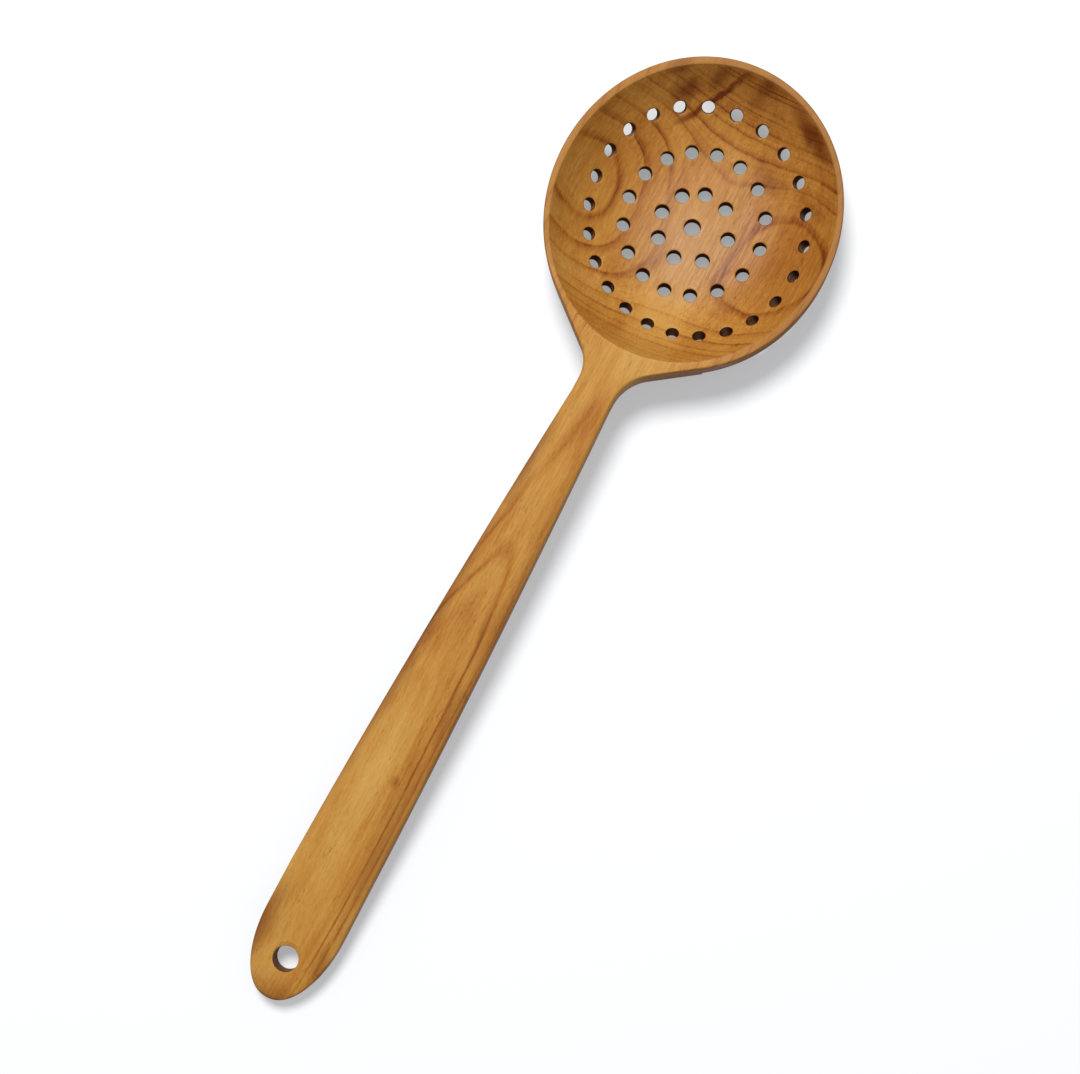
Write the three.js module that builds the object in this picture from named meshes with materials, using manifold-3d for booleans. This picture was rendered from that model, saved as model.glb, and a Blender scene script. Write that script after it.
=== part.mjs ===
// Wooden skimmer ladle, carved from one blank: a shallow oval bowl drilled with rings of drain holes, a neck
// whose top face runs on level from the rim, and a long flat handle that ends in a hanging hole.
// Millimetres, +Z up, bowl towards +Y. It lies on its foot flat and on the end of its handle, at z = 0.
import * as THREE from 'three';
import { mergeVertices } from 'three/addons/utils/BufferGeometryUtils.js';
import Module from 'manifold-3d';

// The blank
const OVERALL_LENGTH = 350;

// The bowl
const BOWL_WIDTH = 98.2;
const BOWL_LENGTH = 107.6;
const OUTLINE_SKEW = -0.0135;    // shift of the hand-cut outline to +X, as a share of the way from its middle to +Y
const RIM_LAND = 2.2;            // flat band between the hollow and the outside edge
const RIM_EDGE = 8;              // upright band under the rim's outside edge
const RIM_EASE = 0.6;            // sanded chamfer on that edge
const HOLLOW_DEPTH = 18;
const HOLLOW_FULLNESS = 4;       // power of the hollow's section: 2 is a parabola, more has a flatter floor
const FLOOR_THICKNESS = 5.2;     // wood left under the middle of the hollow
const FOOT_WIDTH = 36;           // sanded flat that the bowl rests on
const OUTSIDE_FULLNESS = 2;      // power of the flank's turn from the foot up to the upright band

// The neck and its flare into the bowl
const NECK_WIDTH = 14;
const NECK_THICKNESS = 12.4;
const NECK_TO_RIM = 17.2;        // from the narrowest place to the bowl's outline on the centre line
const NECK_OFFSET = -0.5;        // the neck lies this far to +X of the bowl's middle
// On each side the flare has a concave radius at the neck and a straight part, slanted by an angle off the neck
const LEFT_FLARE = { radius: 13, angle: 51 };
const RIGHT_FLARE = { radius: 16, angle: 54 };

// The handle
const HANDLE_END_WIDTH = 28.2;
const HANDLE_OFFSET = -2.3;      // the handle lies this far to +X of the bowl's middle
const HANDLE_END_THICKNESS = 10;
const WIDTH_TAPER = 1.57;        // power of the taper from the end to the neck
const HANDLE_SAG = 1.7;          // power of the handle's fall from the neck to its end
const HANDLE_CROWN = 0.6;        // rise of the handle's top face across its width
const CROWN_FADE = 0.3;          // share of the handle over which the crown dies away to the neck's flat face
const OFFSET_FADE = 0.8;         // share of the handle over which it swings to its offset
const EDGE_ROUNDING = 1.2;       // rounding of the long top edges
const UNDERSIDE_FULLNESS = 9;    // power of the underside's section: upright sides, rounded below
const UNDER_EASE = 1.5;          // rounding of the flare's lower edge
const END_ROUNDING = 27;         // length of the rounded end, seen from above
const END_FULLNESS = 0.465;      // power of that rounding: 0.5 is an oval, less is fuller
const END_EDGE = 1.6;            // length over which the end thins to its edge
const NOSE_FLAT = 0.3;           // cut off that rounding at the very tip
const REST_FLAT = 0.8;           // depth sanded off under the handle's end so that it sits flat
const HANG_HOLE_DIAMETER = 8.7;
const HANG_HOLE_FROM_END = 14.5;

// The drain holes, ring by ring, each ring about its own middle at x, y. Drilled by eye, the rings are a little
// oval and their spacing drifts. Angles run clockwise from +Y in degrees, and start is the first hole's. The holes
// run ahead by drift degrees a quarter turn past the angle driftFrom, and lag by as much a quarter turn before it.
// wobble does the same twice a turn. A ring is longer by stretch along stretchAngle, and narrower across it.
const DRAIN_RINGS = [
  {
    count: 1, radius: 0, diameter: 5.8, x: 0.6, y: -0.7,
    start: 0, drift: 0, driftFrom: 0, wobble: 0, wobbleFrom: 0, stretch: 1, stretchAngle: 0,
  },
  {
    count: 8, radius: 12.2, diameter: 5.0, x: 1.1, y: -0.5,
    start: -3, drift: 8.3, driftFrom: 114, wobble: 3.2, wobbleFrom: 165, stretch: 1.03, stretchAngle: 45,
  },
  {
    count: 16, radius: 24.4, diameter: 4.7, x: 0.6, y: 0.6,
    start: -6.1, drift: 3, driftFrom: 94, wobble: 1.9, wobbleFrom: 142, stretch: 1.02, stretchAngle: -7,
  },
  {
    count: 24, radius: 37.9, diameter: 4.5, x: 1.4, y: 0.6,
    start: -2.5, drift: 4.1, driftFrom: 37, wobble: 0.9, wobbleFrom: 129, stretch: 1.04, stretchAngle: -36,
  },
];
const DRILL_LEAN = 0.62;         // share of the wall's slope that the drill leans: 1 is square to the wall

// Fineness of the curved faces
const ROUND_STEPS = 64;
const SECTION_STEPS = 14;
const DRILL_SIDES = 12;
const HANG_HOLE_SIDES = 24;
const HANDLE_STATIONS = 18;
const FLARE_STATIONS = 18;
const END_STATIONS = 8;
const UNDERSIDE_STEPS = 6;
const EDGE_STEPS = 3;
const OVERCUT = 3;               // how far a cutter stands out past the face that it cuts

const wasm = await Module();
wasm.setup();

const rimHeight = FLOOR_THICKNESS + HOLLOW_DEPTH;
const handleTip = -OVERALL_LENGTH / 2;
const bowlY = OVERALL_LENGTH / 2 - BOWL_LENGTH / 2;
const neckY = bowlY - BOWL_LENGTH / 2 - NECK_TO_RIM;
const halfWidth = BOWL_WIDTH / 2;
const halfLength = BOWL_LENGTH / 2;
const hollowHalfWidth = halfWidth - RIM_LAND;
const hollowHalfLength = halfLength - RIM_LAND;

// Solids from three.js geometry, and back

function toSolid(geometry) {
  const bare = geometry.clone();
  for (const name of Object.keys(bare.attributes)) {
    if (name !== 'position') bare.deleteAttribute(name);
  }
  const merged = mergeVertices(bare, 1e-4);
  const corners = merged.index.array;
  const triangles = [];
  for (let i = 0; i < corners.length; i += 3) {
    const [a, b, c] = corners.slice(i, i + 3);
    if (a !== b && b !== c && c !== a) triangles.push(a, b, c);
  }
  return new wasm.Manifold(new wasm.Mesh({
    numProp: 3,
    vertProperties: new Float32Array(merged.attributes.position.array),
    triVerts: new Uint32Array(triangles),
  }));
}

function toGeometry(solid) {
  const mesh = solid.getMesh();
  const geometry = new THREE.BufferGeometry();
  geometry.setAttribute('position', new THREE.BufferAttribute(mesh.vertProperties, 3));
  geometry.setIndex(new THREE.BufferAttribute(mesh.triVerts, 1));
  geometry.computeVertexNormals();
  return geometry;
}

// The bowl: two revolved sections, each stretched into an oval, of which the outside's leans by the skew

function revolve(profile, acrossHalf, alongHalf, skew) {
  const geometry = new THREE.LatheGeometry(profile, ROUND_STEPS);
  geometry.rotateX(Math.PI / 2);
  geometry.scale(acrossHalf, alongHalf, 1);
  geometry.applyMatrix4(new THREE.Matrix4().makeShear(0, 0, skew, 0, 0, 0));
  geometry.translate(0, bowlY, 0);
  return toSolid(geometry);
}

const footShare = FOOT_WIDTH / BOWL_WIDTH;
const outsideRise = rimHeight - RIM_EDGE;

// Share of the bowl's outline that its outside reaches at a height
function outsideShare(z) {
  const rise = THREE.MathUtils.clamp(z / outsideRise, 0, 1);
  return footShare + (1 - footShare) * (1 - (1 - rise) ** OUTSIDE_FULLNESS);
}

function bowlOutside() {
  const profile = [new THREE.Vector2(0, 0)];
  for (let i = 0; i <= SECTION_STEPS; i++) {
    const z = outsideRise * i / SECTION_STEPS;
    profile.push(new THREE.Vector2(outsideShare(z), z));
  }
  profile.push(new THREE.Vector2(1, rimHeight - RIM_EASE));
  profile.push(new THREE.Vector2(1 - RIM_EASE / halfWidth, rimHeight));
  profile.push(new THREE.Vector2(0, rimHeight));
  return revolve(profile, halfWidth, halfLength, OUTLINE_SKEW);
}

function hollowHeight(share) {
  return FLOOR_THICKNESS + HOLLOW_DEPTH * share ** HOLLOW_FULLNESS;
}

function bowlHollow() {
  const profile = [];
  for (let i = 0; i <= SECTION_STEPS; i++) {
    const share = i / SECTION_STEPS;
    profile.push(new THREE.Vector2(share, hollowHeight(share)));
  }
  profile.push(new THREE.Vector2(1, rimHeight + OVERCUT));
  profile.push(new THREE.Vector2(0, rimHeight + OVERCUT));
  return revolve(profile, hollowHalfWidth, hollowHalfLength, 0);
}

// The flare: on each side an arc leaves the neck straight, and a slanted line runs on from it, tangent to an oval
// slice of the bowl

function flareHalfWidth(y, neckHalf, share, flare) {
  const angle = THREE.MathUtils.degToRad(flare.angle);
  const skew = flare === RIGHT_FLARE ? OUTLINE_SKEW : -OUTLINE_SKEW;
  const touch = Math.atan2(halfWidth, halfLength * (Math.tan(angle) - skew));
  const touchY = bowlY - halfLength * share * Math.cos(touch);
  const touchX = halfWidth * share * Math.sin(touch) + skew * (touchY - bowlY);
  if (touchX <= neckHalf) return neckHalf;
  const corner = touchY - (touchX - neckHalf) / Math.tan(angle);
  const reach = Math.min(flare.radius * Math.tan(angle / 2), (touchX - neckHalf) / Math.sin(angle));
  const radius = reach / Math.tan(angle / 2);
  const arcStart = corner - reach;
  if (y <= arcStart) return neckHalf;
  if (y <= corner + reach * Math.cos(angle)) return neckHalf + radius - Math.sqrt(radius ** 2 - (y - arcStart) ** 2);
  return neckHalf + (Math.min(y, touchY) - corner) * Math.tan(angle);
}

// The flare's wall stands upright and is rounded at its lower edge: the share of the outline that it reaches
function flareShare(z, bottom) {
  const below = THREE.MathUtils.clamp(1 - (z - bottom) / UNDER_EASE, 0, 1);
  return 1 - UNDER_EASE * (1 - Math.sqrt(1 - below ** 2)) / halfWidth;
}

// The neck and handle: rounded sections at stations along Y

const flareEnd = bowlY - 0.7 * halfLength;   // just past the last place where the flare touches the bowl
const handleEndTop = HANDLE_END_THICKNESS - REST_FLAT;
const straightLength = neckY - handleTip;

// 0 at the neck and along the flare, 1 at the handle's tip
function towardsTip(y) {
  return THREE.MathUtils.clamp((neckY - y) / straightLength, 0, 1);
}

function topHeight(y) {
  return rimHeight - (rimHeight - handleEndTop) * towardsTip(y) ** HANDLE_SAG;
}

function thickness(y) {
  return THREE.MathUtils.lerp(NECK_THICKNESS, HANDLE_END_THICKNESS, towardsTip(y));
}

function middleLine(y) {
  const swing = Math.min(towardsTip(y) / OFFSET_FADE, 1);
  return THREE.MathUtils.lerp(NECK_OFFSET, HANDLE_OFFSET, swing);
}

// Share of the full size left where an end is rounded over a length
function roundedEnd(fromTip, length, fullness) {
  return (1 - Math.max(0, 1 - fromTip / length) ** 2) ** fullness;
}

function handleHalfWidth(y) {
  const fromTip = y - handleTip + NOSE_FLAT;
  const taperLength = straightLength - END_ROUNDING;
  const taper = THREE.MathUtils.clamp((fromTip - END_ROUNDING) / taperLength, 0, 1) ** WIDTH_TAPER;
  return THREE.MathUtils.lerp(HANDLE_END_WIDTH, NECK_WIDTH, taper) / 2 * roundedEnd(fromTip, END_ROUNDING, END_FULLNESS);
}

// Heights of the section at a station: its widest level, its top edges, its crest and its underside
function levels(y) {
  const thin = roundedEnd(y - handleTip + NOSE_FLAT, END_EDGE, 0.5);
  const crown = HANDLE_CROWN * THREE.MathUtils.smoothstep(towardsTip(y), 0, CROWN_FADE);
  const above = EDGE_ROUNDING + crown;
  const widest = topHeight(y) - above;
  return {
    widest,
    shoulder: widest + EDGE_ROUNDING * thin,
    crest: widest + above * thin,
    bottom: widest - (thickness(y) - above) * thin,
  };
}

// One side of the section at a station, from the underside's middle round to the long top edge.
// side is 1 for +X and -1 for -X.
function halfSection(y, side) {
  const flare = side > 0 ? RIGHT_FLARE : LEFT_FLARE;
  const { widest, shoulder, bottom } = levels(y);
  const half = handleHalfWidth(y);
  const offset = side * middleLine(y);
  const points = [];
  for (let i = 0; i <= UNDERSIDE_STEPS; i++) {
    const angle = (i / UNDERSIDE_STEPS) * Math.PI / 2;
    const narrow = Math.sin(angle) ** (2 / UNDERSIDE_FULLNESS);
    const z = widest - (widest - bottom) * Math.cos(angle) ** (2 / UNDERSIDE_FULLNESS);
    points.push([side * flareHalfWidth(y, offset + half * narrow, flareShare(z, bottom), flare), z]);
  }
  const intoFlare = THREE.MathUtils.smoothstep(y, bowlY - halfLength, flareEnd);
  const rounding = Math.min(THREE.MathUtils.lerp(EDGE_ROUNDING, RIM_EASE, intoFlare), half);
  const drop = Math.min(rounding, shoulder - widest);
  const edge = flareHalfWidth(y, offset + half, 1, flare);
  for (let i = 0; i <= EDGE_STEPS; i++) {
    const angle = (i / EDGE_STEPS) * Math.PI / 2;
    points.push([side * (edge - rounding * (1 - Math.cos(angle))), shoulder - drop * (1 - Math.sin(angle))]);
  }
  return points;
}

function section(y) {
  const crest = [middleLine(y), levels(y).crest];
  return [...halfSection(y, 1), crest, ...halfSection(y, -1).reverse()].map(([x, z]) => [x, y, z]);
}

function stations() {
  const list = [];
  for (let i = 0; i < END_STATIONS; i++) {
    list.push(handleTip + END_ROUNDING * (i / END_STATIONS) ** 2);
  }
  const straightStart = handleTip + END_ROUNDING;
  for (let i = 0; i < HANDLE_STATIONS; i++) {
    list.push(THREE.MathUtils.lerp(straightStart, neckY, i / HANDLE_STATIONS));
  }
  for (let i = 0; i <= FLARE_STATIONS; i++) {
    list.push(THREE.MathUtils.lerp(neckY, flareEnd, i / FLARE_STATIONS));
  }
  return list;
}

function loft(rings) {
  const positions = [];
  const index = [];
  const size = rings[0].length;
  for (const ring of rings) {
    for (const point of ring) positions.push(...point);
  }
  for (let r = 0; r + 1 < rings.length; r++) {
    for (let i = 0; i < size; i++) {
      const a = r * size + i;
      const b = r * size + (i + 1) % size;
      index.push(a, a + size, b, b, a + size, b + size);
    }
  }
  const last = (rings.length - 1) * size;
  for (let i = 1; i + 1 < size; i++) {
    index.push(0, i, i + 1, last, last + i + 1, last + i);
  }
  const geometry = new THREE.BufferGeometry();
  geometry.setAttribute('position', new THREE.Float32BufferAttribute(positions, 3));
  geometry.setIndex(index);
  return toSolid(geometry);
}

function handle() {
  return loft(stations().map(section));
}

// The drain holes, each drilled between upright and square to the hollow's surface, and the hanging hole

function drill(diameter, length, sides) {
  return new THREE.CylinderGeometry(diameter / 2, diameter / 2, length, sides);
}

function drainHole(x, y, diameter) {
  const share = Math.hypot(x / hollowHalfWidth, y / hollowHalfLength);
  const steepness = DRILL_LEAN * HOLLOW_DEPTH * HOLLOW_FULLNESS * share ** (HOLLOW_FULLNESS - 2);
  const slopeX = steepness * x / hollowHalfWidth ** 2;
  const slopeY = steepness * y / hollowHalfLength ** 2;
  const normal = new THREE.Vector3(-slopeX, -slopeY, 1).normalize();
  const geometry = drill(diameter, rimHeight + OVERCUT, DRILL_SIDES);
  geometry.translate(0, (OVERCUT - rimHeight) / 2, 0);
  geometry.applyQuaternion(new THREE.Quaternion().setFromUnitVectors(new THREE.Vector3(0, 1, 0), normal));
  geometry.translate(x, bowlY + y, hollowHeight(share));
  return toSolid(geometry);
}

function drainHoles() {
  const centre = new THREE.Vector2(0, 0);
  const ahead = (degrees, from, turns, angle) => degrees * Math.sin(THREE.MathUtils.degToRad(turns * angle - from));
  const holes = [];
  for (const ring of DRAIN_RINGS) {
    const turn = THREE.MathUtils.degToRad(ring.stretchAngle);
    for (let i = 0; i < ring.count; i++) {
      const even = ring.start + 360 * i / ring.count;
      const shifted = even + ahead(ring.drift, ring.driftFrom, 1, even) + ahead(ring.wobble, ring.wobbleFrom, 2, even);
      const angle = THREE.MathUtils.degToRad(shifted);
      const place = new THREE.Vector2(ring.radius * Math.sin(angle), ring.radius * Math.cos(angle));
      place.rotateAround(centre, turn);
      place.set(place.x / ring.stretch, place.y * ring.stretch);
      place.rotateAround(centre, -turn);
      holes.push(drainHole(ring.x + place.x, ring.y + place.y, ring.diameter));
    }
  }
  return holes;
}

function hangHole() {
  const geometry = drill(HANG_HOLE_DIAMETER, rimHeight + 2 * OVERCUT, HANG_HOLE_SIDES);
  geometry.rotateX(Math.PI / 2);
  geometry.translate(HANDLE_OFFSET, handleTip + HANG_HOLE_FROM_END, rimHeight / 2);
  return toSolid(geometry);
}

// Everything under the table's surface, which leaves the flat under the handle's end
function belowTable() {
  const geometry = new THREE.BoxGeometry(2 * BOWL_WIDTH, 2 * OVERALL_LENGTH, OVERCUT);
  geometry.translate(0, 0, -OVERCUT / 2);
  return toSolid(geometry);
}

function carvedLadle() {
  let solid = bowlOutside().add(handle()).subtract(bowlHollow()).subtract(belowTable());
  for (const hole of [...drainHoles(), hangHole()]) {
    solid = solid.subtract(hole);
  }
  return toGeometry(solid);
}

const wood = new THREE.MeshStandardMaterial({ color: 0xb67a3e, roughness: 0.6, metalness: 0 });

const ladle = new THREE.Mesh(carvedLadle(), wood);
ladle.name = 'ladle';

const model = new THREE.Group();
model.add(ladle);

export default model;
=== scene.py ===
# %% [markdown]
# # A wooden skimmer ladle
# The real ladle is one piece of hardwood. Its maker saws the outline from a board, carves the hollow with a
# gouge, drains it with rings of drilled holes, and sands and oils the whole. Nothing is glued or screwed on.
# The CAD solid already has every size, so it is the measure here. It is faceted, though, and this lesson
# carves the same form again with fine faces, softened edges and real-looking grain.

# %% Open the frame and measure it
from math import atan, atan2, cos, hypot, pi, radians, sin, sqrt, tan

import bmesh
import bpy
from mathutils import Matrix, Vector


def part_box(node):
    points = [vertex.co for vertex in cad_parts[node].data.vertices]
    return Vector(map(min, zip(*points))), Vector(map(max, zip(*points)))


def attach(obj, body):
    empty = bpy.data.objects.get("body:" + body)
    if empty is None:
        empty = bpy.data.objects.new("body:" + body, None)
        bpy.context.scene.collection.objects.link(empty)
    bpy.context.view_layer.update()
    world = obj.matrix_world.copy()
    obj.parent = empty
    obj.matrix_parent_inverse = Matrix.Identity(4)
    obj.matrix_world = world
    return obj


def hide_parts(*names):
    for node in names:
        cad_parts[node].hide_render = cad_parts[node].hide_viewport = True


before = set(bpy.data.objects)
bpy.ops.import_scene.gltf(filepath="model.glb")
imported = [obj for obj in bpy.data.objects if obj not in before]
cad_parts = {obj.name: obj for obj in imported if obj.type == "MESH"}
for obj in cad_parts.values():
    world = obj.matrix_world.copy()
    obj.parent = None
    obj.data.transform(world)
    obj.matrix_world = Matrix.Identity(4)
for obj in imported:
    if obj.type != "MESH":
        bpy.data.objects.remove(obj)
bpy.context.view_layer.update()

mm = 0.001
ladle_low, ladle_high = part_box("ladle")
overall_length = ladle_high.y - ladle_low.y
bowl_width = ladle_high.x - ladle_low.x
rim_height = ladle_high.z
handle_tip = ladle_low.y
print(f"length {overall_length / mm:.1f}, bowl {bowl_width / mm:.1f}, rim {rim_height / mm:.1f} mm")

# %% [markdown]
# ## The sizes that the box doesn't tell
# A box gives length, width and height only. The rest are the carver's own sizes: how wide the rim is, how
# thick the floor, where the neck is narrowest. They are written once, here, in millimetres, and every later
# step works its places out from them. Changing one then moves all that depends on it.

# %% The carver's sizes
bowl_length = 107.6 * mm
outline_skew = -0.0135
flare_end_share = 0.7
rim_land = 2.2 * mm
rim_edge = 8 * mm
rim_rounding = 0.8 * mm
hollow_edge_softening = 0.16 * mm
floor_thickness = 5.2 * mm
hollow_fullness = 4
foot_width = 36 * mm
outside_fullness = 2

neck_width = 14 * mm
neck_thickness = 12.4 * mm
neck_to_rim = 17.2 * mm
neck_offset = -0.5 * mm
# by side: 1 is the right one, towards +X, and -1 the left one
flare_radius = {1: 16 * mm, -1: 13 * mm}
flare_angle = {1: radians(54), -1: radians(51)}

handle_end_width = 28.2 * mm
handle_offset = -2.3 * mm
handle_end_thickness = 10 * mm
width_taper = 1.57
handle_sag = 1.7
handle_crown = 0.6 * mm
crown_fade = 0.3
offset_fade = 0.8
edge_rounding = 1.2 * mm
underside_fullness = 9
under_easing = 1.5 * mm
end_rounding = 27 * mm
end_fullness = 0.465
end_edge = 1.6 * mm
nose_flat = 0.03 * mm
rest_flat = 0.8 * mm
hang_hole_diameter = 8.7 * mm
hang_hole_from_end = 14.5 * mm

bowl_y = ladle_high.y - bowl_length / 2
neck_y = bowl_y - bowl_length / 2 - neck_to_rim
half_width = bowl_width / 2
half_length = bowl_length / 2
hollow_half_width = half_width - rim_land
hollow_half_length = half_length - rim_land
hollow_depth = rim_height - floor_thickness
overcut = 3 * mm
print(f"bowl centre at y {bowl_y / mm:.1f}, neck at y {neck_y / mm:.1f} mm")

# %% [markdown]
# ## Helpers at the bench
# Blender's operators act on whatever is selected, so each step first lets go of everything. A new mesh starts
# from a primitive and is shaped in edit mode. A lathe is the natural tool for a bowl: one profile, drawn by
# extruding a single point from the axis outwards, is spun right round. It could be drawn as a curve with a
# screw modifier too, but the spin leaves clean rings of four-sided faces that booleans cut well. Many small
# moves add up to a small error, so the profile's points are set exactly before the spin.

# %% Helpers: select nothing, spin a profile
merge_distance = 0.002 * mm


def let_go():
    bpy.ops.object.select_all(action="DESELECT")


def work_on(piece):
    let_go()
    piece.select_set(True)
    bpy.context.view_layer.objects.active = piece


def open_up(piece):
    """Goes into edit mode with everything selected."""
    work_on(piece)
    bpy.ops.object.mode_set(mode="EDIT")
    bpy.ops.mesh.select_all(action="SELECT")


def close_up():
    """Welds the seams, points every face outwards and leaves edit mode."""
    bpy.ops.mesh.select_all(action="SELECT")
    bpy.ops.mesh.remove_doubles(threshold=merge_distance)
    bpy.ops.mesh.normals_make_consistent(inside=False)
    bpy.ops.object.mode_set(mode="OBJECT")


def spun(name, profile, steps):
    """A closed body of revolution round Z from (radius, height) points that start and end on the axis."""
    let_go()
    bpy.ops.mesh.primitive_plane_add(size=mm, location=(0, 0, 0))
    piece = bpy.context.object
    piece.name = piece.data.name = name
    bpy.ops.object.mode_set(mode="EDIT")
    bpy.ops.mesh.merge(type="CENTER")
    bpy.ops.transform.translate(value=(profile[0][0], 0, profile[0][1]))
    for (radius, height), (next_radius, next_height) in zip(profile, profile[1:]):
        move = (next_radius - radius, 0, next_height - height)
        bpy.ops.mesh.extrude_region_move(TRANSFORM_OT_translate={"value": move})
    mesh = bmesh.from_edit_mesh(piece.data)
    for corner in mesh.verts:
        # the corners don't come in the order of the profile, so each one is set on the point nearest to it
        at = corner.co
        radius, height = min(profile, key=lambda point: hypot(point[0] - at.x, point[1] - at.z))
        corner.co = (radius, 0, height)
    bpy.ops.mesh.select_all(action="SELECT")
    bpy.ops.mesh.spin(steps=steps, angle=2 * pi, center=(0, 0, 0), axis=(0, 0, 1))
    close_up()
    return piece


print(f"corners closer than {merge_distance / mm} mm are merged")

# %% [markdown]
# ## Oval bodies, joining and cutting
# An oval bowl is a round one, stretched. Bodies are joined and cut with booleans, and each tool is a solid of its
# own that its cut uses up. The manifold solver is fast and exact, and asks for closed bodies.

# %% Helpers: stretch, join and cut
def stretched(piece, across, along, place, skew=0):
    """Turns a round body into an oval one that leans by the skew, and carries it to its place."""
    open_up(piece)
    bpy.ops.transform.resize(value=(across, along, 1), center_override=(0, 0, 0))
    mesh = bmesh.from_edit_mesh(piece.data)
    for corner in mesh.verts:
        corner.co.x += skew * corner.co.y
    bmesh.update_edit_mesh(piece.data)
    bpy.ops.transform.translate(value=place)
    bpy.ops.object.mode_set(mode="OBJECT")
    return piece


def joined(name, pieces):
    work_on(pieces[0])
    for piece in pieces:
        piece.select_set(True)
    bpy.ops.object.join()
    piece = bpy.context.object
    piece.name = piece.data.name = name
    return piece


def carve(piece, tool, operation="DIFFERENCE"):
    """Joins or cuts with a tool body, which is used up."""
    work_on(piece)
    step = piece.modifiers.new(tool.name, "BOOLEAN")
    step.object = tool
    step.operation = operation
    step.solver = "MANIFOLD"
    bpy.ops.object.modifier_apply(modifier=step.name)
    bpy.data.objects.remove(tool)
    print(f"{operation.lower()}: {piece.name} now has {len(piece.data.polygons)} faces")


def smoothstep(value, start, end):
    share = min(1, max(0, (value - start) / (end - start)))
    return share * share * (3 - 2 * share)


def blend(start, end, share):
    return start + (end - start) * share


round_steps = 192
section_steps = 40
print(f"round bodies have {round_steps} sides")

# %% [markdown]
# ## The bowl's outside
# Under the rim the wall stands upright for 8 mm, then rounds in to a flat sanded foot. On the real bowl this is
# spokeshave and sandpaper work. One spun profile, stretched into an oval, gives it. The profile is written in
# shares of the bowl's half width, so the same curve serves both axes of the oval. The outline was cut by hand
# and leans a little to the left towards its far end.

# %% Spin the outside
foot_share = foot_width / bowl_width
outside_rise = rim_height - rim_edge


def outside_share(height):
    """How far out the bowl's outside reaches at a height, as a share of its outline."""
    rise = min(1, max(0, height / outside_rise))
    return foot_share + (1 - foot_share) * (1 - (1 - rise) ** outside_fullness)


outside_profile = [(0, 0)]
for step in range(section_steps + 1):
    # short steps near the upright band, where the wall turns fastest
    height = outside_rise * sin(pi / 2 * step / section_steps)
    outside_profile.append((outside_share(height), height))
rounding_steps = 6
for step in range(rounding_steps + 1):
    turn = pi / 2 * step / rounding_steps
    inset = rim_rounding * (1 - cos(turn)) / half_width
    outside_profile.append((1 - inset, rim_height - rim_rounding * (1 - sin(turn))))
outside_profile.append((0, rim_height))

ladle = spun("carved_ladle", outside_profile, round_steps)
stretched(ladle, half_width, half_length, (0, bowl_y, 0), outline_skew)
print(f"outside spun from {len(outside_profile)} profile points")

# %% [markdown]
# ## The flare
# On each side a flare leads from the neck to the bowl. It leaves the neck straight, turns outwards round a
# small arc, and then runs straight again until it touches the bowl's oval. The two sides are not the same: each
# has its own arc and slant, as the maker cut them. Where a line of given slant touches an oval has a short
# formula, and the arc is the fillet between two lines. The line aims at an oval a hair inside the bowl's skin:
# two skins that only touch can't be joined cleanly. The walls were sawn, so they stand upright down to a
# rounded lower edge.

# %% Work out the flare
flare_bite = 0.04 * mm


def flare_touch(share, side):
    """Where the slanted line of a side touches the oval of the bowl, taken at a share of its size."""
    across, along = half_width * share - flare_bite, half_length * share - flare_bite
    skew = side * outline_skew
    turn = atan2(across, along * (tan(flare_angle[side]) - skew))
    return across * sin(turn) - skew * along * cos(turn), bowl_y - along * cos(turn)


def flare_half_width(y, neck_half, share, side):
    """How far out a side reaches at a station: the neck's straight side, then the arc, then the slanted line."""
    slant = flare_angle[side]
    touch_x, touch_y = flare_touch(share, side)
    if touch_x <= neck_half:
        return neck_half
    corner = touch_y - (touch_x - neck_half) / tan(slant)
    reach = min(flare_radius[side] * tan(slant / 2), (touch_x - neck_half) / sin(slant))
    radius = reach / tan(slant / 2)
    arc_start = corner - reach
    if y <= arc_start:
        return neck_half
    if y <= corner + reach * cos(slant):
        return neck_half + radius - sqrt(radius**2 - (y - arc_start) ** 2)
    return neck_half + (min(y, touch_y) - corner) * tan(slant)


def flare_share(height, bottom):
    """The flare's size at a height: full, and less where its lower edge is rounded."""
    below = min(1, max(0, 1 - (height - bottom) / under_easing))
    return 1 - under_easing * (1 - sqrt(1 - below**2)) / half_width


for side in (1, -1):
    touch_x, touch_y = flare_touch(1, side)
    print(f"flare on side {side:+d} touches the rim at x {side * touch_x / mm:.1f}, y {touch_y / mm:.1f} mm")

# %% [markdown]
# ## Neck and handle
# The handle widens away from the neck, sinks towards the table and ends in a rounded tip. Its top is slightly
# crowned, its sides upright, its long edges softened. Such a form can be made with a subdivision surface, but
# then nobody knows its sizes. Here it is lofted, ring by ring, and first come the lines that run along it: its
# top, its middle and its width.

# %% Lines along the handle
straight_length = neck_y - handle_tip
flare_end = bowl_y - flare_end_share * half_length
handle_end_top = handle_end_thickness - rest_flat


def towards_tip(y):
    return min(1, max(0, (neck_y - y) / straight_length))


def top_height(y):
    return rim_height - (rim_height - handle_end_top) * towards_tip(y) ** handle_sag


def middle_line(y):
    return blend(neck_offset, handle_offset, min(towards_tip(y) / offset_fade, 1))


def rounded_end(from_tip, length, fullness):
    """The share of the full size that is left at a distance from a rounded tip."""
    return (1 - max(0, 1 - from_tip / length) ** 2) ** fullness


def handle_half_width(y):
    from_tip = y - handle_tip + nose_flat
    taper_length = straight_length - end_rounding
    taper = min(1, max(0, (from_tip - end_rounding) / taper_length)) ** width_taper
    return blend(handle_end_width, neck_width, taper) / 2 * rounded_end(from_tip, end_rounding, end_fullness)


print(f"the top falls {(top_height(neck_y) - top_height(handle_tip)) / mm:.1f} mm from neck to tip")

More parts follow.
